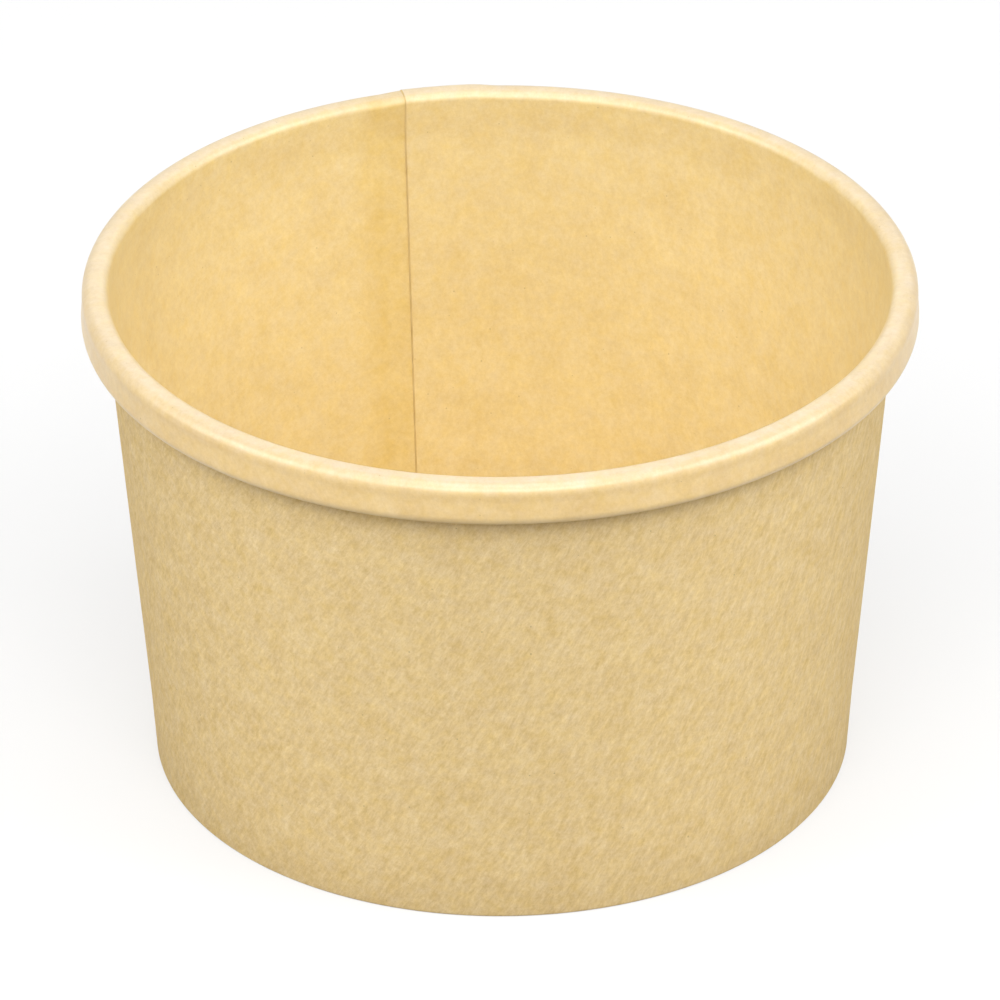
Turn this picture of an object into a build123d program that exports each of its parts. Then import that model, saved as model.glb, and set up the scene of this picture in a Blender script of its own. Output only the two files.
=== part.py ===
from build123d import *
from math import degrees, radians, tan
import os

# Driving dimensions in millimetres and degrees
# The cup as a whole, standing on z = 0 with the axis on Z
cup_height = 73.0
rim_diameter = 115.0
foot_diameter = 97.2
board = 0.4

# Foot band, where the wall is folded in round the base and stands a little more upright
band_over_base = 0.8
band_draft = 3.9
band_bend_radius = 10.0
crease_radius = 0.05

# Rolled rim: a tall flattened curl with a shallow waist for the lid's bead
rim_width = 3.85
rim_height = 6.1
rim_inner_radius = 1.2
rim_outer_radius = 1.6
shoulder_inset = 0.1
waist_drop = 2.4
waist_radius = 6.0
rim_flare = 5.0
neck_radius = 20.0
curl_end_stand = 3.0
curl_flat = 0.1
curl_clearance = 0.2

# Side seam: the right-hand sheet laps inside the left-hand one, seen from the front
seam_azimuth = 104.4
lap_width = 9.0
shelf_width = 3.0
ramp_width = 4.0
ramp_steps = 4
rim_lap_rise = 0.18

# Base disc, pressed up inside the foot band with its skirt turned down
recess_depth = 8.2
base_corner_radius = 0.9
hem_clearance = 0.7
seal_gap = 0.03

# Worked-out sizes
rim_radius = rim_diameter / 2
foot_radius = foot_diameter / 2
neck = rim_radius - rim_width
rim_base = cup_height - rim_height
curl_end = neck + 2 * board + curl_clearance
base_top = recess_depth + board
band_top = base_top + band_over_base
hem_top = recess_depth - hem_clearance
skirt_end = 2 * board + 2 * seal_gap


def band_face(height):
    """Radius of the wall's coated face in the foot band."""
    return foot_radius - board + height * tan(radians(band_draft))


def hem_face(height):
    """Radius of the folded-up ply's coated face, which holds the skirt against the wall."""
    return band_face(height) - board - 2 * seal_gap


def sheet_corners(plies, rise):
    """Corners and bend radii of the coated face, from the hem's free edge up round the rim.

    plies is how many thicknesses lie under it at the foot, and rise is how far the rim
    stands proud there.
    """
    floor = plies * board
    side = rim_radius + rise
    top = cup_height + rise
    waist = cup_height - waist_drop
    curl_radius = (side - curl_end - curl_flat) / 2
    curl_corner = side - curl_radius + curl_radius * tan(radians(45 + rim_flare / 2))
    waist_side = curl_corner - (waist - rim_base) * tan(radians(rim_flare))
    bends = [
        (hem_face(floor), floor, crease_radius),
        (band_face(floor), floor, crease_radius),
        (band_face(band_top), band_top, band_bend_radius),
        (neck, rim_base, neck_radius),
        (neck, top, rim_inner_radius),
        (side - shoulder_inset, top, rim_outer_radius),
        (waist_side, waist, waist_radius),
        (curl_corner, rim_base, curl_radius),
        (curl_end, rim_base, curl_radius),
    ]
    first = (hem_face(hem_top), hem_top)
    last = (curl_end, rim_base + curl_end_stand)
    corners = [first, *[(across, up) for across, up, _ in bends], last]
    return [Vector(*corner) for corner in corners], [radius for *_, radius in bends]


def moved_face(corners, radii, depth):
    """The same outline at a depth under the coated face, each bend about the same centre."""
    ways = [(after - before).normalized() for before, after in zip(corners, corners[1:])]
    outs = [way.cross(Vector(0, 0, 1)) for way in ways]
    mitres = [(a + b) / (1 + a.dot(b)) for a, b in zip(outs, outs[1:])]
    turns = [1 if a.cross(b).Z > 0 else -1 for a, b in zip(ways, ways[1:])]
    points = [corner + out * depth for corner, out in zip(corners, [outs[0], *mitres, outs[-1]])]
    return points, [radius + turn * depth for radius, turn in zip(radii, turns)]


def sheet_section(plies, rise, first_ply, last_ply):
    """Closed section of the sheet between two ply faces, counted from the coated face."""
    corners, radii = sheet_corners(plies, rise)
    near, near_radii = moved_face(corners, radii, first_ply * board)
    far, far_radii = moved_face(corners, radii, last_ply * board)
    edge = FilletPolyline(
        *near, *reversed(far), radius=[0, *near_radii, 0, 0, *reversed(far_radii), 0], close=True
    )
    return Plane.XZ * make_face(edge)


def along_seam(width):
    """The angle that a width along the wall takes up half-way up the seam."""
    return degrees(2 * width / (foot_radius + neck))


def turned(section, azimuth):
    """A section stood at its place round the cup."""
    return Rot(0, 0, azimuth) * section


def ramp(flat_azimuth, lapped_azimuth, share_moved):
    """The single sheet easing from its own place to its place in the lap.

    share_moved is 0 for the inner sheet, which stays inside, and 1 for the outer one, which
    moves out by a thickness.
    """
    sections = []
    for step in range(ramp_steps + 1):
        way = step / ramp_steps
        ease = way * way * (3 - 2 * way)
        first_ply = share_moved * ease
        section = sheet_section(1 + ease, rim_lap_rise * ease, first_ply, first_ply + 1)
        sections.append(turned(section, flat_azimuth + way * (lapped_azimuth - flat_azimuth)))
    return loft(sections)


def side_wall():
    """One sheet wrapped into a cone, lapped over itself at the seam and rolled at the rim."""
    outer_edge = seam_azimuth - along_seam(lap_width)
    inner_start = outer_edge - along_seam(ramp_width)
    shelf_end = seam_azimuth + along_seam(shelf_width)
    under_start = shelf_end + along_seam(ramp_width)
    single = turned(sheet_section(1, 0, 0, 1), under_start)
    both_plies = turned(sheet_section(2, rim_lap_rise, 0, 2), outer_edge)
    under_ply = turned(sheet_section(2, rim_lap_rise, 1, 2), seam_azimuth)
    sheet = revolve(single, Axis.Z, 360 - (under_start - inner_start))
    lap = revolve(both_plies, Axis.Z, seam_azimuth - outer_edge)
    shelf = revolve(under_ply, Axis.Z, shelf_end - seam_azimuth)
    inner_ramp = ramp(inner_start, outer_edge, 0)
    under_ramp = ramp(under_start, shelf_end, 1)
    return sheet.fuse(inner_ramp, lap, shelf, under_ramp)


def base_disc():
    """The disc that closes the foot, one blank with its edge turned down into a skirt."""
    corner = band_face(base_top) - seal_gap
    foot = band_face(skirt_end) - seal_gap
    corners = [Vector(0, base_top), Vector(corner, base_top), Vector(foot, skirt_end)]
    top, top_radii = moved_face(corners, [base_corner_radius], 0)
    under, under_radii = moved_face(corners, [base_corner_radius], board)
    edge = FilletPolyline(
        *top, *reversed(under), radius=[0, *top_radii, 0, 0, *under_radii, 0], close=True
    )
    return revolve(Plane.XZ * make_face(edge), Axis.Z)


pieces = {
    "side_wall": side_wall(),
    "base_disc": base_disc(),
}
os.makedirs("parts", exist_ok=True)
for name, piece in pieces.items():
    piece.label = name
    export_step(piece, f"parts/{name}.step")
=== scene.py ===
"""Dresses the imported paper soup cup: the wrapped and rolled side wall, the pressed base, and a small studio."""

from math import atan, ceil, cos, pi, radians, sin, tan, tau

import bmesh
import bpy
from bpy.props import FloatProperty, FloatVectorProperty, IntProperty, PointerProperty
from mathutils import Matrix, Vector


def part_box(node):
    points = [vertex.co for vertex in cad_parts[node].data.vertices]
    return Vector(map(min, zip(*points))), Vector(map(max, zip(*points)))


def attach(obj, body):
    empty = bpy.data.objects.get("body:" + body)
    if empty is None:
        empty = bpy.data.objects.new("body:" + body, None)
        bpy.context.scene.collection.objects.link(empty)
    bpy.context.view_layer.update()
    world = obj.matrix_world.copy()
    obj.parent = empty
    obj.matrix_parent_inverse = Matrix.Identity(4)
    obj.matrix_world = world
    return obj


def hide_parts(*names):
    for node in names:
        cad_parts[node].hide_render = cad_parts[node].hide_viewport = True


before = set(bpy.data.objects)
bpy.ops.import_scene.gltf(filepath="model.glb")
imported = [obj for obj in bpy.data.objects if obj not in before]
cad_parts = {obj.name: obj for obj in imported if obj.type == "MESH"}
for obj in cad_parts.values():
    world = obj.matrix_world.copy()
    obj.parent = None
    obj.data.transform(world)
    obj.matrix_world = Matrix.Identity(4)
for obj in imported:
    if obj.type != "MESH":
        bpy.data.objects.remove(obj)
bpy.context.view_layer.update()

bl_info = {
    "name": "Kraft Soup Cup",
    "version": (1, 0, 0),
    "blender": (4, 5, 0),
    "location": "View3D > Sidebar > Soup Cup",
    "description": "Builds a kraft paper soup cup from its two sheets of board",
    "category": "Object",
}

UP = Vector((0, 0, 1))
SIDEWAYS = Vector((0, 1, 0))
MILLIMETRE = 0.001

# Face numbers of the board's two sides and its raw edge
FILM, KRAFT, CUT = range(3)

# What each point of a sheet carries: its number along the section, how far it was spun round, and three values
# that the film's colour reads: how far past the inner sheet's cut edge, the roll's top for its painted highlight,
# and the roll's side and underside for their painted shade
STATION = "station"
TURNED = "turned"
PAST_CUT = "past_cut"
ROLL_TOP_HIGHLIGHT = "roll_top_highlight"
SHADED_ROLL_SIDE = "shaded_roll_side"
SHEET_MAP = "sheet"

# How many bends of the wall's section lie on the upright hem, come before the roll, and before the roll's side
HEM_BENDS = 2
ROLL_START = 6
SIDE_START = 8

# How far the rim stands proud where it carries both ends of the sheet
RIM_LAP_RISE = 0.18 * MILLIMETRE

# Tolerances: points that are one, a whole number of steps, and a point on a zone's last section
MERGE_DISTANCE = 0.01 * MILLIMETRE
WHOLE_STEP = 1e-6
ZONE_END = 0.01

# How many waves of each length go round the base's corner
PLEAT_WAVES = (41, 67, 88)

# The paper pattern is in millimetres on the flat sheet. Each way of the fibres has a direction in degrees, a
# length and a width, and the second way is the weaker one
FIBRE_WAYS = [(-62, 3.0, 0.9), (20, 1.6, 0.8)]
CROSS_FIBRES = 0.4
FIBRE_ROUGHNESS = 0.95
FIBRE_WANDER = 0.2
FIBRE_HEIGHT = 0.05 * MILLIMETRE

# Clouds and flecks are soft noise, given as its largest grain and how many times that is halved. The flecks read
# it elsewhere, so that they don't follow the clouds
PULP_CLOUDS = (7.0, 5)
PULP_FLECKS = (3.5, 2)
CLOUD_ROUGHNESS = 1.0
ELSEWHERE = (171, 53, 0)

# How strongly fibres and clouds, and then flecks, change red, green and blue
PULP_SHADE = (0.95, 1.30, 1.95)
FLECK_SHADE = (0.01, 0.07, 0.38)

# Bark specks: how far apart, how rare the large ones, and the largest radius as a share of the spacing
SPECK_SPACING = 3.3
SPECK_RARITY = 6.0
SPECK_REACH = 0.05

# Where each piece's blank lies on the endless sheet of paper
WALL_PLACE = 0
BASE_PLACE = 300

# The heat-sealed strip beside the seam, in metres: its width, its blotches and how strong the tint is across it
SEAL_WIDTH = 8 * MILLIMETRE
SEAL_PATCH = (6 * MILLIMETRE, 2)
SEAL_UNEVEN = 1.2
SEAL_STOPS = [(0.0, 0.72), (0.35, 0.66), (0.5, 1.0), (0.7, 0.65), (0.86, 0.3), (1.0, 0.0)]

# How each face of the board looks: strengths of the paper pattern, relief, roughness and the shader's gloss
FACES = {
    "film": {
        "paper": {"Fibre Contrast": 0.10, "Cloud Contrast": 0.36, "Fleck Contrast": 1.5, "Speck Amount": 0.8},
        "bump": 0.12, "roughness": 0.5, "uneven": 0.3,
        "shader": {"Specular IOR Level": 0.1, "Coat Weight": 1.0, "Coat Roughness": 0.33, "Coat IOR": 1.6},
    },
    "kraft": {
        "paper": {"Fibre Contrast": 0.43, "Cloud Contrast": 0.30, "Fleck Contrast": 1.3, "Speck Amount": 0.9},
        "bump": 0.45, "roughness": 0.9, "uneven": 0.3,
        "shader": {"Specular IOR Level": 0.15},
    },
    "cut": {
        "paper": {"Fibre Contrast": 0.6, "Cloud Contrast": 0.0, "Fleck Contrast": 1.0, "Speck Amount": 0.0},
        "bump": 0.6, "roughness": 0.95, "uneven": 0.3,
        "shader": {"Specular IOR Level": 0.2},
    },
}

# The lamps: name, azimuth and elevation in degrees, distance, width and depth in metres, and brightness
SOFTBOXES = [
    ("overhead_softbox", 0, 86, 1.0, 0.5, 0.5, 3.2),
    ("high_softbox", 0, 66, 1.2, 1.0, 0.5, 0.8),
    ("front_softbox", 0, 42, 1.2, 1.1, 0.5, 5.2),
    ("left_softbox", -78, 35, 1.2, 0.8, 0.8, 2.8),
    ("right_softbox", 80, 35, 1.2, 0.8, 0.8, 3.3),
    ("high_left_softbox", -60, 48, 1.2, 0.8, 0.6, 1.5),
    ("high_right_softbox", 60, 48, 1.2, 0.8, 0.6, 1.3),
    ("back_softbox", 180, 42, 1.2, 1.2, 0.5, 1.0),
]
FLOOR_CELLS = 8

# A Mix node's kinds share the names of their sockets, so they go by number: amount, two numbers, two colours
MIX_AMOUNT, MIX_LOW, MIX_HIGH, MIX_UNDER, MIX_OVER = 0, 2, 3, 6, 7
MIXED_COLOUR = 2


def size(name, description, default):
    """A length in metres that a user may change."""
    return FloatProperty(name=name, description=description, default=default, unit="LENGTH", precision=5)


def angle(name, description, degrees):
    """An angle that a user may change, given here in degrees."""
    return FloatProperty(name=name, description=description, default=radians(degrees), subtype="ANGLE")


def count(name, description, default):
    """A number of steps that a user may change."""
    return IntProperty(name=name, description=description, default=default, min=1)


def share(name, description, default):
    """A plain number, such as the strength of an effect."""
    return FloatProperty(name=name, description=description, default=default, precision=3)


def colour(name, description, default):
    """A colour as linear red, green and blue."""
    return FloatVectorProperty(name=name, description=description, default=default, subtype="COLOR", size=3,
                               min=0, max=1)


class CupSizes(bpy.types.PropertyGroup):
    """The cup as a whole."""

    rim_lap_rise: size("Rim rise at the seam", "How far the rim stands proud over the lap", RIM_LAP_RISE)
    height: size("Height", "Foot to rim, away from the seam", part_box("side_wall")[1].z - RIM_LAP_RISE)
    rim_diameter: size("Rim", "Diameter over the rolled rim", 2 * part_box("side_wall")[1].x)
    foot_diameter: size("Foot", "Diameter of the foot ring", 0.0972)
    board: size("Board", "Thickness of the coated board", 0.0004)


class FootSizes(bpy.types.PropertyGroup):
    """The folded foot and the base that it holds."""

    band_over_base: size("Band over base", "Height of the foot band above the base", 0.0008)
    band_draft: angle("Band draft", "Lean of the foot band", 3.9)
    band_bend_radius: size("Band bend", "Bend radius at the top of the band", 0.010)
    crease_radius: size("Crease", "Inner bend radius of the folded hem", 0.00005)
    base_top: size("Base top", "Height of the base's upper face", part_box("base_disc")[1].z)
    corner_radius: size("Base corner", "Radius where the base turns down", 0.0009)
    hem_clearance: size("Hem clearance", "From the hem's edge to the base", 0.0007)
    seal_gap: size("Seal", "Film between base skirt and wall", 0.00003)
    ribs_start: size("Ribs start", "Height where the hem's knurled ribs start", 0.0018)
    rib_depth: size("Rib depth", "How deep the knurling wheel presses the hem's kraft face", 0.00012)
    ribs: count("Ribs", "Knurled ribs round the hem", 120)
    pleat_depth: size("Pleat depth", "How far the base's corner is gathered in", 0.00008)


class RimSizes(bpy.types.PropertyGroup):
    """The rolled rim."""

    width: size("Width", "Across the roll", 0.00385)
    height: size("Height", "Underside of the roll to its top", 0.0061)
    inner_radius: size("Inner radius", "Bend from the neck into the top", 0.0012)
    outer_radius: size("Outer radius", "Bend from the top into the side", 0.0016)
    shoulder_inset: size("Shoulder inset", "How far the shoulder stays inside the widest line", 0.0001)
    waist_drop: size("Waist drop", "From the top down to the waist", 0.0024)
    waist_radius: size("Waist radius", "Bend at the waist", 0.006)
    flare: angle("Flare", "Lean of the roll's lower side", 5)
    neck_radius: size("Neck radius", "Bend from the wall into the roll", 0.020)
    curl_end_stand: size("Curl end", "How far the free edge stands up inside the roll", 0.003)
    curl_flat: size("Curl flat", "Flat on the underside of the roll", 0.0001)
    curl_clearance: size("Curl clearance", "From the free edge to the wall", 0.0002)


class SeamSizes(bpy.types.PropertyGroup):
    """The lapped side seam."""

    azimuth: angle("Azimuth", "Where the inner sheet is cut", 104.4)
    lap_width: size("Lap", "Width where the sheet lies double", 0.009)
    shelf_width: size("Shelf", "Width of the outer sheet beside the inner one's cut edge", 0.003)
    ramp_width: size("Ramp", "Width over which the sheet eases into the lap", 0.004)
    nook_width: size("Nook", "Width over which the base's skirt eases off the cut edge", 0.0012)
    weld: size("Weld", "Film between the two sheets of the lap", 0.00002)
    pressed_width: size("Pressed edge", "Width of the inner sheet's edge that the sealing bar thins", 0.0011)
    pressed_share: share("Pressing", "How much thinner the pressed edge gets on the wall", 0.4)
    crushed_share: share("Crushing", "How much thinner it gets on the roll", 0.8)
    skive: size("Skive", "How far the cut edge's film side lies behind its kraft side", 0.0002)


class MeshSteps(bpy.types.PropertyGroup):
    """How finely the sheets are divided."""

    turn: angle("Turn", "Widest step round the cup", 0.75)
    seam_turn: angle("Turn at the seam", "Widest step in the seam's ramps", 0.4)
    crease: count("Crease", "Steps in a tight crease", 4)
    bend: count("Bend", "Steps in a slight bend", 4)
    curl: count("Curl", "Steps in a quarter turn of the roll", 9)
    rings: count("Rings", "Rings on the base", 12)


class KraftFinish(bpy.types.PropertyGroup):
    """Colours of the board."""

    kraft: colour("Kraft", "Uncoated face", (0.815, 0.608, 0.298))
    film: colour("Film", "Kraft seen through the film", (0.745, 0.588, 0.292))
    # The roll colour is a painted highlight: a less yellow film on the roll's top, so that under its strong light
    # the top reads cream-white like a gloss highlight
    roll: colour("Roll", "Top of the roll, where the film is drawn thin and pale", (0.615, 0.480, 0.285))
    # The roll side colour is painted shade: a deeper, more saturated orange than the film on the roll's side and
    # underside, for the shade under the roll
    shaded_roll_side: colour("Roll side", "Side and underside of the roll", (0.775, 0.550, 0.240))
    seal: colour("Seal", "Tint where the heat of the sealing bar has darkened the film", (0.965, 0.927, 0.765))
    cut: colour("Cut", "Raw edge of the board", (0.62, 0.465, 0.225))
    speck: colour("Specks", "Bark specks in the pulp", (0.36, 0.24, 0.11))


class StudioSettings(bpy.types.PropertyGroup):
    """Camera, floor and lights."""

    elevation: angle("Elevation", "Camera above the horizon", 30.357)
    roll: angle("Roll", "Camera turned about its own axis", -0.278)
    distance: size("Distance", "Camera to its aim", 1.29541)
    aim: FloatVectorProperty(name="Aim", description="What the camera looks at", subtype="XYZ", unit="LENGTH",
                             default=(-0.00014, 0, 0.03753), precision=5)
    lens: FloatProperty(name="Lens", description="Focal length in millimetres", default=335.67, unit="CAMERA")
    sky: share("Sky", "Strength of the even light from all round", 0.03)
    floor_paint: share("Floor paint", "How much light the floor throws back", 0.33)
    floor_glow: share("Floor glow", "White that only the camera and reflections see", 0.61)
    floor_width: size("Floor", "Width of the floor", 4.0)


class SoupCup(bpy.types.PropertyGroup):
    """Everything that describes the cup and its studio."""

    body: PointerProperty(type=CupSizes)
    foot: PointerProperty(type=FootSizes)
    rim: PointerProperty(type=RimSizes)
    seam: PointerProperty(type=SeamSizes)
    steps: PointerProperty(type=MeshSteps)
    finish: PointerProperty(type=KraftFinish)
    studio: PointerProperty(type=StudioSettings)


def at(across, up):
    """A point in the cup's half section."""
    return Vector((across, 0, up))


def azimuth_of(vert):
    """Where a vertex stands round the axis, anticlockwise from +X as seen from above."""
    return -Vector((1, 0)).angle_signed(vert.co.xy)


def turned_by(turn, point):
    """The point carried round the axis."""
    return Matrix.Rotation(turn, 3, "Z") @ point


def outward(vert):
    """The level direction from the axis to a vertex."""
    return Vector((*vert.co.xy, 0)).normalized()


def band_face(cup, height):
    """Radius of the wall's film face in the foot band."""
    return cup.body.foot_diameter / 2 - cup.body.board + height * tan(cup.foot.band_draft)


def hem_face(cup, height):
    """Radius of the folded-up ply's film face."""
    return band_face(cup, height) - cup.body.board - 2 * cup.foot.seal_gap


def sheet_bends(cup, plies, rise):
    """Corner, bend radius and steps of each bend of the film face, from the hem up round the rim."""
    body, foot, rim, steps = cup.body, cup.foot, cup.rim, cup.steps
    floor = plies * body.board + (plies - 1) * cup.seam.weld
    neck = body.rim_diameter / 2 - rim.width
    rim_base = body.height - rim.height
    side = body.rim_diameter / 2 + rise
    top = body.height + rise
    waist = body.height - rim.waist_drop
    band_top = foot.base_top + foot.band_over_base
    curl_end = neck + 2 * body.board + rim.curl_clearance
    curl_radius = (side - curl_end - rim.curl_flat) / 2
    curl_corner = side - curl_radius + curl_radius * tan(radians(45) + rim.flare / 2)
    waist_side = curl_corner - (waist - rim_base) * tan(rim.flare)
    hem_top = foot.base_top - body.board - foot.hem_clearance
    return [
        (at(hem_face(cup, hem_top), hem_top), 0, 0),
        (at(hem_face(cup, foot.ribs_start), foot.ribs_start), 0, 0),
        (at(hem_face(cup, floor), floor), foot.crease_radius, steps.crease),
        (at(band_face(cup, floor), floor), foot.crease_radius, steps.crease),
        (at(band_face(cup, band_top), band_top), foot.band_bend_radius, steps.bend),
        (at(neck, rim_base), rim.neck_radius, steps.bend),
        (at(neck, top), rim.inner_radius, steps.curl),
        (at(side - rim.shoulder_inset, top), rim.outer_radius, steps.curl),
        (at(waist_side, waist), rim.waist_radius, steps.bend),
        (at(curl_corner, rim_base), curl_radius, steps.curl),
        (at(curl_end, rim_base), curl_radius, steps.curl),
        (at(curl_end, rim_base + rim.curl_end_stand), 0, 0),
    ]


def moved_face(bends, depth):
    """The same line at a depth under the film face, each bend about the same centre."""
    corners = [corner for corner, *_ in bends]
    ways = [(after - before).normalized() for before, after in zip(corners, corners[1:])]
    outs = [SIDEWAYS.cross(way) for way in ways]
    mitres = [(a + b) / (1 + a.dot(b)) for a, b in zip(outs, outs[1:])]
    turns = [0, *[-1 if a.cross(b).y > 0 else 1 for a, b in zip(ways, ways[1:])], 0]
    moves = [outs[0], *mitres, outs[-1]]
    return [
        (corner + move * depth, radius + turn * depth, steps)
        for (corner, radius, steps), move, turn in zip(bends, moves, turns)
    ]


def rounded_outline(bends):
    """Points of a closed outline whose corners are rounded by the bevel tool."""
    scratch = bmesh.new()
    corners = [corner for corner, *_ in bends]
    verts = [scratch.verts.new(corner) for corner in corners]
    scratch.faces.new(verts)
    for place, (vert, (corner, radius, steps)) in enumerate(zip(verts, bends)):
        if not steps:
            continue
        before = corner - corners[place - 1]
        after = corners[(place + 1) % len(corners)] - corner
        offset = radius * tan(before.angle(after) / 2)
        bmesh.ops.bevel(scratch, geom=[vert], offset=offset, offset_type="OFFSET", segments=steps,
                        profile=0.5, affect="VERTICES", material=-1)
    loop = next(loop for loop in scratch.faces[:][0].loops if loop.vert == verts[0])
    points = []
    for _ in range(len(scratch.verts)):
        points.append(loop.vert.co.copy())
        loop = loop.link_loop_next
    scratch.free()
    return points


def film_stations(bends):
    """How many points of the outline lie on the film face, which comes first."""
    return sum(steps + 1 for *_, steps in bends)


def sheet_outline(cup, plies, rise, depth):
    """Outline of the sheet's section, with its film face at a depth under the innermost one."""
    bends = sheet_bends(cup, plies, rise)
    near = moved_face(bends, depth)
    far = moved_face(bends, depth + cup.body.board)
    return rounded_outline([*near, *reversed(far)])


def thinned(points, film_count, film_move, kraft_move):
    """The same section with each face moved towards the other by its share of the thickness."""
    film, kraft = points[:film_count], points[:film_count - 1:-1]
    near = [point.lerp(opposite, film_move) for point, opposite in zip(film, kraft)]
    far = [point.lerp(opposite, kraft_move) for point, opposite in zip(kraft, film)]
    return [*near, *reversed(far)]


def with_roll(wall, top, roll):
    """One section up to the roll and another one from there on, on both faces."""
    return [*wall[:roll], *top[roll:len(top) - roll], *wall[len(wall) - roll:]]


def lengths_along(points, film_count):
    """Distance of each point along the sheet, from the hem's edge, on both faces."""
    def running(line):
        total = 0
        for before, after in zip([line[0], *line], line):
            total += (after - before).length
            yield total
    film, kraft = points[:film_count], points[film_count:]
    return [*running(film), *reversed(list(running(kraft[::-1])))]


def along_seam(cup, width):
    """The angle that a width along the wall takes up half-way up the seam."""
    neck = cup.body.rim_diameter / 2 - cup.rim.width
    return 2 * width / (cup.body.foot_diameter / 2 + neck)


def steps_for(turn, widest):
    """Number of even steps in a turn."""
    return max(1, ceil(turn / widest - WHOLE_STEP))


def eased(way):
    """A soft start and a soft end to a way from 0 to 1."""
    return way * way * (3 - 2 * way)


def spin_on(mesh, front, turn, steps):
    """Spins the front section on round the axis, and gives the new front and the new vertices."""
    known = set(mesh.verts)
    out = bmesh.ops.spin(mesh, geom=front, cent=(0, 0, 0), axis=UP, dvec=(0, 0, 0), angle=turn, steps=steps,
                         use_merge=False, use_duplicate=False)
    return out["geom_last"], [vert for vert in mesh.verts if vert not in known]


def skive_edge(mesh, front, film_count, skive):
    """Slants the sheet's last cut edge, so that its film side lies a little behind its kraft side."""
    station = mesh.verts.layers.int[STATION]
    for part in front:
        if isinstance(part, bmesh.types.BMVert) and part[station] < film_count:
            part.co = turned_by(-skive / part.co.xy.length, part.co)


def split_ends(mesh):
    """Splits the sheet's two cut ends, each one long face after the spin, between opposite stations."""
    station = mesh.verts.layers.int[STATION]
    for end in [face for face in mesh.faces if len(face.verts) > 4]:
        ring = sorted(end.verts, key=lambda vert: vert[station])
        for place in range(1, len(ring) // 2 - 1):
            bmesh.ops.connect_verts(mesh, verts=[ring[place], ring[-1 - place]])


def wall_zones(cup, single, film_count, roll):
    """Azimuth where the wall starts, and its zones: turn, widest step, first section and last section.

    The sheet starts as the lap's outer ply, goes once round as a single ply and ends as the inner one, whose
    pressed edge is the seam line inside the cup.
    """
    board, seam, steps = cup.body.board, cup.seam, cup.steps
    rise = cup.body.rim_lap_rise
    inner_lap = sheet_outline(cup, 2, rise, 0)
    outer_lap = sheet_outline(cup, 2, rise, board + seam.weld)
    crushed = thinned(inner_lap, film_count, 0, seam.crushed_share)
    under_crushed = sheet_outline(cup, 2, rise, board * (1 - seam.crushed_share) + seam.weld)
    inner_edge = with_roll(thinned(inner_lap, film_count, seam.pressed_share, 0), crushed, roll)
    outer_edge = with_roll(outer_lap, under_crushed, roll)
    outer_shelf = with_roll(outer_lap, single, roll)
    widths = (seam.lap_width, seam.shelf_width, seam.ramp_width, seam.pressed_width)
    lap, shelf, ramp, edge = (along_seam(cup, width) for width in widths)
    return seam.azimuth - lap, [
        (lap - edge, steps.turn, outer_lap, outer_lap),
        (edge, steps.seam_turn, outer_lap, outer_edge),
        (shelf, steps.seam_turn, outer_edge, outer_shelf),
        (ramp, steps.seam_turn, outer_shelf, single),
        (tau - lap - shelf - 2 * ramp, steps.turn, single, single),
        (ramp, steps.seam_turn, single, inner_lap),
        (lap - edge, steps.turn, inner_lap, inner_lap),
        (edge, steps.seam_turn, inner_lap, inner_edge),
    ]


def wrapped_sheet(start, zones):
    """Spins the sheet's section round from zone to zone, and gives the mesh and its last front section."""
    mesh = bmesh.new()
    station = mesh.verts.layers.int.new(STATION)
    turned = mesh.verts.layers.float.new(TURNED)
    _, _, first_section, _ = zones[0]
    verts = [mesh.verts.new(turned_by(start, point)) for point in first_section]
    for number, vert in enumerate(verts):
        vert[station] = number
    face = mesh.faces.new(verts)
    front = [face, *face.edges, *face.verts]
    gone = 0
    for turn, widest, first, last in zones:
        front, new = spin_on(mesh, front, turn, steps_for(turn, widest))
        for vert in new:
            way = (azimuth_of(vert) - start - gone) % tau
            way = way if way < turn + ZONE_END else 0
            vert[turned] = gone + way
            number = vert[station]
            point = first[number].lerp(last[number], eased(min(1, way / turn)))
            vert.co = turned_by(start + gone + way, point)
        gone += turn
    return mesh, front


def wall_mesh(cup):
    """The side wall's sheet, wrapped once round and lapped over itself."""
    single = sheet_outline(cup, 1, 0, 0)
    bends = sheet_bends(cup, 1, 0)
    film_count = film_stations(bends)
    roll = film_stations(bends[:ROLL_START])
    side = film_stations(bends[:SIDE_START]) - 1
    mesh, front = wrapped_sheet(*wall_zones(cup, single, film_count, roll))
    skive_edge(mesh, front, film_count, cup.seam.skive)
    split_ends(mesh)
    finish_sheet(mesh, film_count)
    along = lengths_along(single, film_count)
    mark_wall(mesh, along_seam(cup, cup.seam.lap_width), along, (along[roll], along[side]))
    flatten_wall(cup, mesh, along)
    knurl_hem(cup.foot, mesh, len(single) - film_stations(bends[:HEM_BENDS]))
    return mesh


def finish_sheet(mesh, film_count):
    """Marks each face as film, kraft or cut edge, points it outwards and keeps the cut edges sharp."""
    station = mesh.verts.layers.int[STATION]
    bmesh.ops.recalc_face_normals(mesh, faces=mesh.faces)
    for face in mesh.faces:
        sides = {vert[station] < film_count for vert in face.verts}
        face.material_index = CUT if len(sides) == 2 else FILM if sides == {True} else KRAFT
        face.smooth = True
    for edge in mesh.edges:
        kinds = {face.material_index for face in edge.link_faces}
        edge.smooth = len(kinds) == 1


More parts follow.
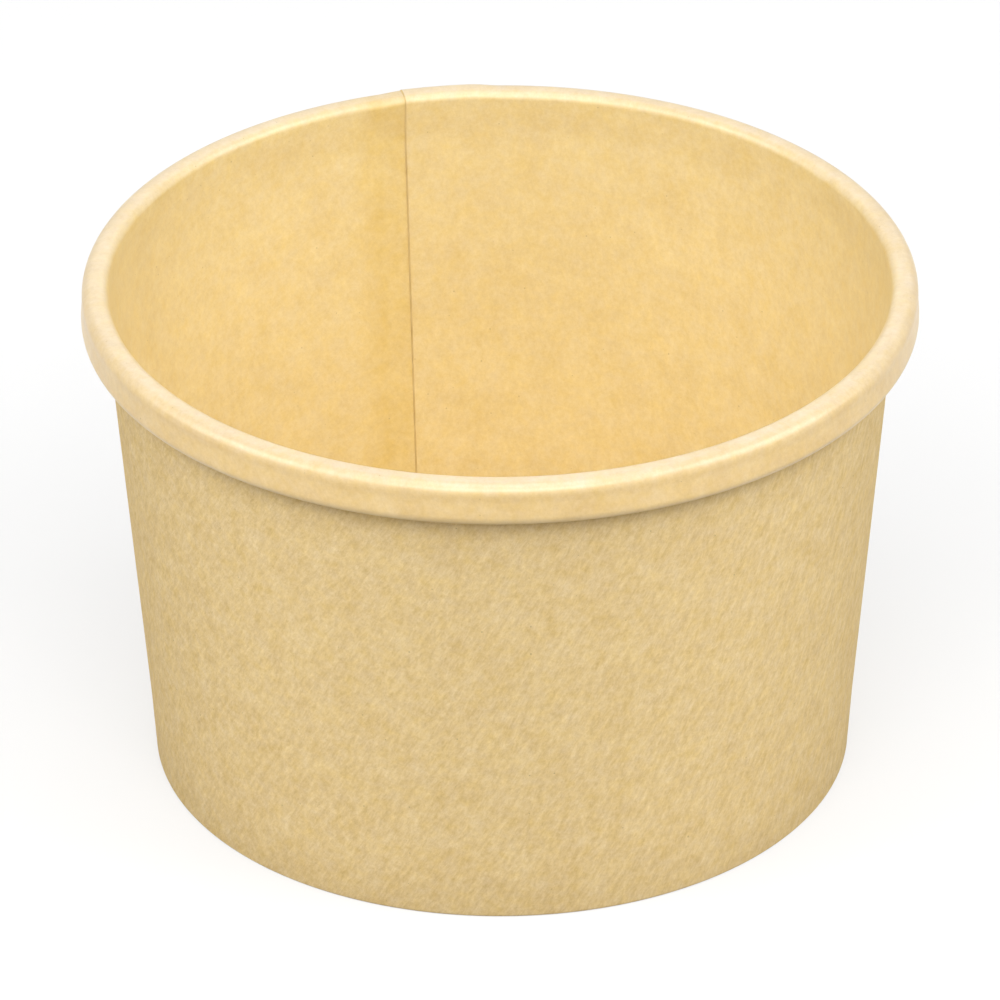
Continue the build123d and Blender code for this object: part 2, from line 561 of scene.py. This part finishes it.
def mark_wall(mesh, cut_edge, along, roll_top):
    """Notes how far each point lies past the inner sheet's cut edge, onto the roll's top, which gets a painted
    highlight, and down its side, which gets painted shade.
    """
    station = mesh.verts.layers.int[STATION]
    turned = mesh.verts.layers.float[TURNED]
    past_cut, roll_top_highlight, shaded_roll_side = (mesh.verts.layers.float.new(name) for name in (PAST_CUT, ROLL_TOP_HIGHLIGHT, SHADED_ROLL_SIDE))
    first, last = roll_top
    for vert in mesh.verts:
        vert[past_cut] = (vert[turned] - cut_edge) * vert.co.xy.length
        way = min(1, max(0, (along[vert[station]] - first) / (last - first)))
        # The roll's top is marked for its painted highlight
        vert[roll_top_highlight] = sin(pi * way)
        # The roll's side and underside are marked for their painted shade
        vert[shaded_roll_side] = eased(way)


def knurl_hem(foot, mesh, first_station):
    """Presses upright ribs into the hem's kraft face, as the wheel does that seals the base into the foot.

    That face comes last in the section, so the ribs take up all stations from the first one given.
    """
    station = mesh.verts.layers.int[STATION]
    turned = mesh.verts.layers.float[TURNED]
    for vert in mesh.verts:
        if vert[station] >= first_station:
            depth = foot.rib_depth * (1 + sin(vert[turned] * foot.ribs)) / 2
            vert.co += outward(vert) * depth


def flatten_wall(cup, mesh, along):
    """Maps the sheet as the flat blank that it was cut from, in metres."""
    neck = cup.body.rim_diameter / 2 - cup.rim.width
    foot = band_face(cup, 0)
    cone = atan((neck - foot) / (cup.body.height - cup.rim.height))
    apex = foot / sin(cone)
    station = mesh.verts.layers.int[STATION]
    turned = mesh.verts.layers.float[TURNED]
    flat = mesh.loops.layers.uv.new(SHEET_MAP)
    for face in mesh.faces:
        for loop in face.loops:
            out = apex + along[loop.vert[station]]
            fan = (loop.vert[turned] - pi) * sin(cone)
            loop[flat].uv = (out * sin(fan), out * cos(fan) - apex)


def base_outline(cup):
    """Outline of half the base's section, from the axis out over the top and back underneath."""
    foot, board = cup.foot, cup.body.board
    skirt_end = 2 * board + 2 * foot.seal_gap
    corner = band_face(cup, foot.base_top) - foot.seal_gap
    edge = band_face(cup, skirt_end) - foot.seal_gap
    bends = [
        (at(0, foot.base_top), 0, 0),
        (at(corner, foot.base_top), foot.corner_radius, cup.steps.curl),
        (at(edge, skirt_end), 0, 0),
    ]
    return rounded_outline([*bends, *reversed(moved_face(bends, board))]), film_stations(bends)


def channel_depth(cup, azimuth):
    """How far the wall stands back from the base's round: a sheet's thickness beside the inner cut edge."""
    seam = cup.seam
    nook, shelf, ramp = (along_seam(cup, width) for width in (seam.nook_width, seam.shelf_width, seam.ramp_width))
    past = (azimuth - seam.azimuth) % tau
    out = eased(min(1, past / nook))
    back = eased(min(1, max(0, past - shelf) / ramp))
    return (cup.body.board + seam.weld) * (out - back)


def press_base(cup, mesh, last_station):
    """Gathers the base's corner into shallow uneven pleats, and presses its skirt into the seam's channel."""
    station = mesh.verts.layers.int[STATION]
    for vert in mesh.verts:
        place = min(vert[station], last_station - vert[station]) - 1
        if place < 0:
            continue
        around = azimuth_of(vert)
        waves = sum(sin(number * around + number) for number in PLEAT_WAVES) / len(PLEAT_WAVES)
        gather = max(0, sin(pi * place / cup.steps.curl)) * (1 + waves) / 2
        move = channel_depth(cup, around) - cup.foot.pleat_depth * gather
        vert.co += outward(vert) * move


def flatten_base(foot, mesh):
    """Maps the base as the round blank that it was cut from, in metres."""
    flat = mesh.loops.layers.uv.new(SHEET_MAP)
    for face in mesh.faces:
        for loop in face.loops:
            across = loop.vert.co.xy
            fall = foot.base_top - loop.vert.co.z
            out = (across.length + fall) / max(across.length, MERGE_DISTANCE)
            loop[flat].uv = across * out


def base_mesh(cup):
    """The base disc with its edge turned down into a skirt."""
    points, film_count = base_outline(cup)
    mesh = bmesh.new()
    station = mesh.verts.layers.int.new(STATION)
    verts = [mesh.verts.new(point) for point in points]
    for number, vert in enumerate(verts):
        vert[station] = number
    edges = [mesh.edges.new(pair) for pair in zip(verts, verts[1:])]
    divided = bmesh.ops.subdivide_edges(mesh, edges=[edges[0], edges[-1]], cuts=cup.steps.rings,
                                        use_grid_fill=False)
    last_station = len(points) - 1
    for part in divided["geom_inner"]:
        if isinstance(part, bmesh.types.BMVert):
            part[station] = 0 if part[station] < film_count else last_station
    bmesh.ops.spin(mesh, geom=[*mesh.verts, *mesh.edges], cent=(0, 0, 0), axis=UP, dvec=(0, 0, 0), angle=tau,
                   steps=steps_for(tau, cup.steps.turn), use_merge=True, use_duplicate=False)
    bmesh.ops.remove_doubles(mesh, verts=mesh.verts, dist=MERGE_DISTANCE)
    finish_sheet(mesh, film_count)
    press_base(cup, mesh, last_station)
    flatten_base(cup.foot, mesh)
    return mesh


def with_alpha(rgb):
    """A property's colour as a socket's colour."""
    return (*rgb, 1.0)


def feed(tree, made, inputs):
    """Links or sets each of a node's inputs."""
    for name, value in inputs.items():
        if isinstance(value, bpy.types.NodeSocket):
            tree.links.new(value, made.inputs[name])
        else:
            made.inputs[name].default_value = value


def node(tree, kind, inputs, **settings):
    """Adds a node, with what feeds each of its inputs and its settings."""
    made = tree.nodes.new(kind)
    for name, value in settings.items():
        setattr(made, name, value)
    feed(tree, made, inputs)
    return made


def sums(tree, operation, *values):
    """A Math node's result."""
    return node(tree, "ShaderNodeMath", dict(enumerate(values)), operation=operation).outputs[0]


def vectors(tree, operation, inputs):
    """A Vector Math node's result."""
    return node(tree, "ShaderNodeVectorMath", inputs, operation=operation).outputs[0]


def new_group(name, inputs, outputs):
    """A node group with its named sockets: the tree, its inputs and its output node."""
    tree = bpy.data.node_groups.new(name, "ShaderNodeTree")
    for label, kind, default in inputs:
        made = tree.interface.new_socket(name=label, in_out="INPUT", socket_type=f"NodeSocket{kind}")
        if default is not None:
            made.default_value = default
    for label, kind in outputs:
        tree.interface.new_socket(name=label, in_out="OUTPUT", socket_type=f"NodeSocket{kind}")
    return tree, tree.nodes.new("NodeGroupInput").outputs, tree.nodes.new("NodeGroupOutput").inputs


def group_node(tree, group, inputs):
    """Places a node group and feeds it."""
    made = tree.nodes.new("ShaderNodeGroup")
    made.node_tree = group
    feed(tree, made, inputs)
    return made.outputs


def fibres_group():
    """Fibres that lie one way: noise drawn out along a direction, from -0.5 to 0.5."""
    tree, given, result = new_group(
        "Fibres one way",
        [("Sheet", "Vector", None), ("Direction", "Float", 0.0), ("Length", "Float", 1.0), ("Width", "Float", 0.2),
         ("Detail", "Float", 3.0)],
        [("Fibres", "Float")],
    )
    turn = node(tree, "ShaderNodeCombineXYZ", {"Z": given["Direction"]}).outputs[0]
    turned = node(tree, "ShaderNodeVectorRotate", {"Vector": given["Sheet"], "Rotation": turn},
                  rotation_type="EULER_XYZ").outputs[0]
    drawn = node(tree, "ShaderNodeCombineXYZ", {"X": given["Length"], "Y": given["Width"], "Z": 1.0}).outputs[0]
    stretched = vectors(tree, "DIVIDE", {0: turned, 1: drawn})
    noise = node(tree, "ShaderNodeTexNoise",
                 {"Vector": stretched, "Scale": 1.0, "Detail": given["Detail"], "Roughness": FIBRE_ROUGHNESS,
                  "Distortion": FIBRE_WANDER}, noise_dimensions="2D")
    tree.links.new(sums(tree, "SUBTRACT", noise.outputs[0], 0.5), result["Fibres"])
    return tree


def clouds(tree, sheet, grain, detail):
    """Soft noise with its largest grain in the sheet's own unit, from -0.5 to 0.5."""
    noise = node(tree, "ShaderNodeTexNoise", {"Vector": sheet, "Scale": 1 / grain, "Detail": detail,
                                              "Roughness": CLOUD_ROUGHNESS}, noise_dimensions="2D")
    return sums(tree, "SUBTRACT", noise.outputs[0], 0.5)


def varied(tree, paper, amount, strengths):
    """The colour times one plus an amount that weighs differently on red, green and blue."""
    change = vectors(tree, "SCALE", {0: strengths, "Scale": amount})
    return vectors(tree, "MULTIPLY", {0: paper, 1: vectors(tree, "ADD", {0: change, 1: (1, 1, 1)})})


def paper_group(fibres):
    """Kraft paper: fibres that lie mostly one way, clouds of thicker pulp, tinted flecks and bark specks."""
    tree, given, result = new_group(
        "Kraft paper",
        [("Sheet", "Vector", None), ("Offset", "Vector", (0, 0, 0)), ("Paper", "Color", (0.7, 0.55, 0.3, 1)),
         ("Speck", "Color", (0.3, 0.2, 0.1, 1)), ("Fibre Contrast", "Float", 0.3), ("Cloud Contrast", "Float", 0.1),
         ("Fleck Contrast", "Float", 1.0), ("Speck Amount", "Float", 0.5)],
        [("Color", "Color"), ("Height", "Float")],
    )
    scaled = vectors(tree, "SCALE", {0: given["Sheet"], "Scale": 1 / MILLIMETRE})
    sheet = vectors(tree, "ADD", {0: scaled, 1: given["Offset"]})
    along, across = (
        group_node(tree, fibres, {"Sheet": sheet, "Direction": radians(way), "Length": long, "Width": wide})[0]
        for way, long, wide in FIBRE_WAYS
    )
    matted = sums(tree, "MULTIPLY_ADD", across, CROSS_FIBRES, along)
    shade = sums(tree, "MULTIPLY", matted, given["Fibre Contrast"])
    shade = sums(tree, "MULTIPLY_ADD", clouds(tree, sheet, *PULP_CLOUDS), given["Cloud Contrast"], shade)
    shaded = varied(tree, given["Paper"], shade, PULP_SHADE)
    elsewhere = vectors(tree, "ADD", {0: sheet, 1: ELSEWHERE})
    flecks = sums(tree, "MULTIPLY", clouds(tree, elsewhere, *PULP_FLECKS), given["Fleck Contrast"])
    flecked = varied(tree, shaded, flecks, FLECK_SHADE)
    cells = node(tree, "ShaderNodeTexVoronoi", {"Vector": sheet, "Scale": 1 / SPECK_SPACING, "Randomness": 1.0},
                 voronoi_dimensions="2D", feature="F1")
    chance = node(tree, "ShaderNodeSeparateColor", {0: cells.outputs["Color"]}).outputs[0]
    reach = sums(tree, "MULTIPLY", sums(tree, "POWER", chance, SPECK_RARITY), SPECK_REACH)
    spot = node(tree, "ShaderNodeMapRange", {"Value": cells.outputs["Distance"], "From Min": 0.0, "From Max": reach,
                                             "To Min": 1.0, "To Max": 0.0}).outputs[0]
    mask = sums(tree, "MULTIPLY", spot, given["Speck Amount"])
    tree.links.new(mixed(tree, mask, flecked, given["Speck"]), result["Color"])
    tree.links.new(matted, result["Height"])
    return tree


def attribute(tree, name):
    """A value that the mesh carries at each point."""
    return node(tree, "ShaderNodeAttribute", {}, attribute_name=name).outputs["Fac"]


def sheet_place(tree):
    """The place on the flat blank, in metres."""
    return node(tree, "ShaderNodeUVMap", {}, uv_map=SHEET_MAP).outputs[0]


def mixed(tree, amount, first, second, blend="MIX"):
    """One colour laid over another by an amount."""
    return node(tree, "ShaderNodeMix", {MIX_AMOUNT: amount, MIX_UNDER: first, MIX_OVER: second},
                data_type="RGBA", blend_type=blend).outputs[MIXED_COLOUR]


def curve_of(tree, value, stops):
    """Reads a value from 0 to 1 off a smooth curve through the given stops."""
    ramp = node(tree, "ShaderNodeValToRGB", {0: value})
    ramp.color_ramp.interpolation = "EASE"
    elements = ramp.color_ramp.elements
    while len(elements) < len(stops):
        elements.new(0.5)
    for element, (place, level) in zip(elements, stops):
        element.position = place
        element.color = (level, level, level, 1)
    return ramp.outputs[0]


def wall_film_colour(tree, finish):
    """The wall's film: less yellow on top of the roll as a painted highlight, painted shade down the roll's side
    and underside, and darkened by heat beside the inner sheet's edge.
    """
    film, side, top, seal = (with_alpha(rgb) for rgb in (finish.film, finish.shaded_roll_side, finish.roll, finish.seal))
    # Painted shade on the roll's side and underside, with the painted highlight laid over the roll's top
    rolled = mixed(tree, attribute(tree, ROLL_TOP_HIGHLIGHT), mixed(tree, attribute(tree, SHADED_ROLL_SIDE), film, side), top)
    heat = curve_of(tree, sums(tree, "DIVIDE", attribute(tree, PAST_CUT), SEAL_WIDTH), SEAL_STOPS)
    patches = sums(tree, "MULTIPLY_ADD", clouds(tree, sheet_place(tree), *SEAL_PATCH), SEAL_UNEVEN, 1.0)
    tinted = mixed(tree, 1.0, rolled, seal, "MULTIPLY")
    return mixed(tree, sums(tree, "MULTIPLY", heat, patches), rolled, tinted)


def board_material(name, paper, offset, colour_of, speck, looks):
    """One face of the board: the paper pattern on the flat sheet, with the face's own gloss and relief.

    colour_of adds the face's colour to the material's tree and gives its socket, or gives a plain colour.
    """
    material = bpy.data.materials.new(name)
    material.use_nodes = True
    tree = material.node_tree
    shader = tree.nodes["Principled BSDF"]
    found = group_node(tree, paper, {"Sheet": sheet_place(tree), "Offset": offset, "Paper": colour_of(tree),
                                     "Speck": with_alpha(speck), **looks["paper"]})
    bump = node(tree, "ShaderNodeBump", {"Height": found["Height"], "Strength": looks["bump"],
                                         "Distance": FIBRE_HEIGHT})
    roughness = sums(tree, "MULTIPLY_ADD", found["Height"], looks["uneven"], looks["roughness"])
    tree.links.new(found["Color"], shader.inputs["Base Color"])
    tree.links.new(roughness, shader.inputs["Roughness"])
    tree.links.new(bump.outputs[0], shader.inputs["Normal"])
    for socket, value in looks["shader"].items():
        shader.inputs[socket].default_value = value
    return material


def board_materials(piece, offset, finish, film_colour):
    """Film face, kraft face and cut edge of one piece, in the order of its face numbers."""
    fibres = bpy.data.node_groups.get("Fibres one way") or fibres_group()
    paper = bpy.data.node_groups.get("Kraft paper") or paper_group(fibres)
    colours = [film_colour, lambda tree: with_alpha(finish.kraft), lambda tree: with_alpha(finish.cut)]
    return [
        board_material(f"{piece} {face}", paper, (offset, place, 0), colour_of, finish.speck, looks)
        for place, ((face, looks), colour_of) in enumerate(zip(FACES.items(), colours))
    ]


def new_piece(name, mesh, materials):
    """Makes an object of a finished bmesh, with its origin at the frame's."""
    data = bpy.data.meshes.new(name)
    mesh.to_mesh(data)
    mesh.free()
    for material in materials:
        data.materials.append(material)
    piece = bpy.data.objects.new(name, data)
    bpy.context.scene.collection.objects.link(piece)
    return piece


class CUP_OT_side_wall(bpy.types.Operator):
    """Build the side wall: one sheet, lapped at the seam, folded at the foot and rolled at the rim"""

    bl_idname = "soup_cup.side_wall"
    bl_label = "Side wall"

    def execute(self, context):
        cup = context.scene.soup_cup
        materials = board_materials("wall", WALL_PLACE, cup.finish, lambda tree: wall_film_colour(tree, cup.finish))
        piece = new_piece("wall_sheet", wall_mesh(cup), materials)
        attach(piece, "root")
        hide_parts("side_wall")
        return {"FINISHED"}


class CUP_OT_base(bpy.types.Operator):
    """Build the base: a disc with its edge turned down into a skirt"""

    bl_idname = "soup_cup.base"
    bl_label = "Base"

    def execute(self, context):
        cup = context.scene.soup_cup
        materials = board_materials("base", BASE_PLACE, cup.finish, lambda tree: with_alpha(cup.finish.film))
        piece = new_piece("base_sheet", base_mesh(cup), materials)
        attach(piece, "root")
        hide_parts("base_disc")
        return {"FINISHED"}


def seen_directly(tree):
    """1 for what the camera, a reflection or a clear surface sees, and 0 for light that falls on things."""
    rays = tree.nodes.new("ShaderNodeLightPath").outputs
    mirrored = sums(tree, "MAXIMUM", rays["Is Glossy Ray"], rays["Is Transmission Ray"])
    return sums(tree, "MAXIMUM", rays["Is Camera Ray"], mirrored)


def floor_material(paint, glow):
    """White floor that keeps a soft shadow."""
    material = bpy.data.materials.new("studio floor")
    material.use_nodes = True
    tree = material.node_tree
    tree.nodes.remove(tree.nodes["Principled BSDF"])
    matt = node(tree, "ShaderNodeBsdfDiffuse", {"Color": (paint, paint, paint, 1)}).outputs[0]
    strength = sums(tree, "MULTIPLY", seen_directly(tree), glow)
    white = node(tree, "ShaderNodeEmission", {"Color": (1, 1, 1, 1), "Strength": strength}).outputs[0]
    both = node(tree, "ShaderNodeAddShader", {0: matt, 1: white}).outputs[0]
    tree.links.new(both, tree.nodes["Material Output"].inputs["Surface"])
    return material


def softbox(name, azimuth, elevation, distance, wide, deep, brightness):
    """A rectangular lamp turned to the cup. Azimuth 0 is the camera's side, and 90 degrees is to the right."""
    lamp = bpy.data.lights.new(name, "AREA")
    lamp.shape = "RECTANGLE"
    lamp.size = wide
    lamp.size_y = deep
    lamp.energy = brightness * pi * wide * deep
    way = Vector((sin(azimuth) * cos(elevation), -cos(azimuth) * cos(elevation), sin(elevation)))
    box = bpy.data.objects.new(name, lamp)
    box.location = way * distance
    box.rotation_euler = (-way).to_track_quat("-Z", "Y").to_euler()
    bpy.context.scene.collection.objects.link(box)


def studio_sky(strength):
    """Even light from all round, which the camera sees as plain white."""
    world = bpy.data.worlds.new("studio sky")
    world.use_nodes = True
    tree = world.node_tree
    background = tree.nodes["Background"]
    background.inputs["Color"].default_value = (1, 1, 1, 1)
    level = node(tree, "ShaderNodeMix",
                 {MIX_AMOUNT: seen_directly(tree), MIX_LOW: strength, MIX_HIGH: 1.0}).outputs[0]
    tree.links.new(level, background.inputs["Strength"])
    bpy.context.scene.world = world


class CUP_OT_studio(bpy.types.Operator):
    """Set up the floor, the lights and the camera"""

    bl_idname = "soup_cup.studio"
    bl_label = "Studio"

    def execute(self, context):
        studio = context.scene.soup_cup.studio
        mesh = bmesh.new()
        bmesh.ops.create_grid(mesh, x_segments=FLOOR_CELLS, y_segments=FLOOR_CELLS, size=studio.floor_width / 2)
        floor = new_piece("studio_floor", mesh, [floor_material(studio.floor_paint, studio.floor_glow)])
        studio_sky(studio.sky)
        for name, azimuth, elevation, *sizes in SOFTBOXES:
            softbox(name, radians(azimuth), radians(elevation), *sizes)
        lens = bpy.data.cameras.new("camera")
        lens.lens = studio.lens
        camera = bpy.data.objects.new("camera", lens)
        back = Vector((0, -cos(studio.elevation), sin(studio.elevation)))
        camera.location = Vector(studio.aim) + back * studio.distance
        facing = (-back).to_track_quat("-Z", "Y").to_matrix() @ Matrix.Rotation(studio.roll, 3, "Z")
        camera.rotation_euler = facing.to_euler()
        context.scene.collection.objects.link(camera)
        context.scene.camera = camera
        context.scene.view_settings.view_transform = "Standard"
        return {"FINISHED"}


class CUP_PT_panel(bpy.types.Panel):
    """The cup's sizes and its operators"""

    bl_idname = "CUP_PT_panel"
    bl_label = "Soup Cup"
    bl_space_type = "VIEW_3D"
    bl_region_type = "UI"
    bl_category = "Soup Cup"

    def draw(self, context):
        cup = context.scene.soup_cup
        for group in (cup.body, cup.foot, cup.rim, cup.seam, cup.steps, cup.finish, cup.studio):
            box = self.layout.box()
            for name in group.bl_rna.properties.keys():
                if name not in ("rna_type", "name"):
                    box.prop(group, name)
        for operator in OPERATORS:
            self.layout.operator(operator.bl_idname)


OPERATORS = (CUP_OT_side_wall, CUP_OT_base, CUP_OT_studio)
CLASSES = (CupSizes, FootSizes, RimSizes, SeamSizes, MeshSteps, KraftFinish, StudioSettings, SoupCup,
           *OPERATORS, CUP_PT_panel)


def register():
    """Registers the classes and hangs the cup's values on the scene."""
    for cls in CLASSES:
        bpy.utils.register_class(cls)
    bpy.types.Scene.soup_cup = PointerProperty(type=SoupCup)


def unregister():
    """Takes all of it away again."""
    del bpy.types.Scene.soup_cup
    for cls in reversed(CLASSES):
        bpy.utils.unregister_class(cls)


def main():
    """Builds the cup and its studio."""
    register()
    bpy.ops.soup_cup.side_wall()
    bpy.ops.soup_cup.base()
    bpy.ops.soup_cup.studio()


if __name__ == "__main__":
    main()
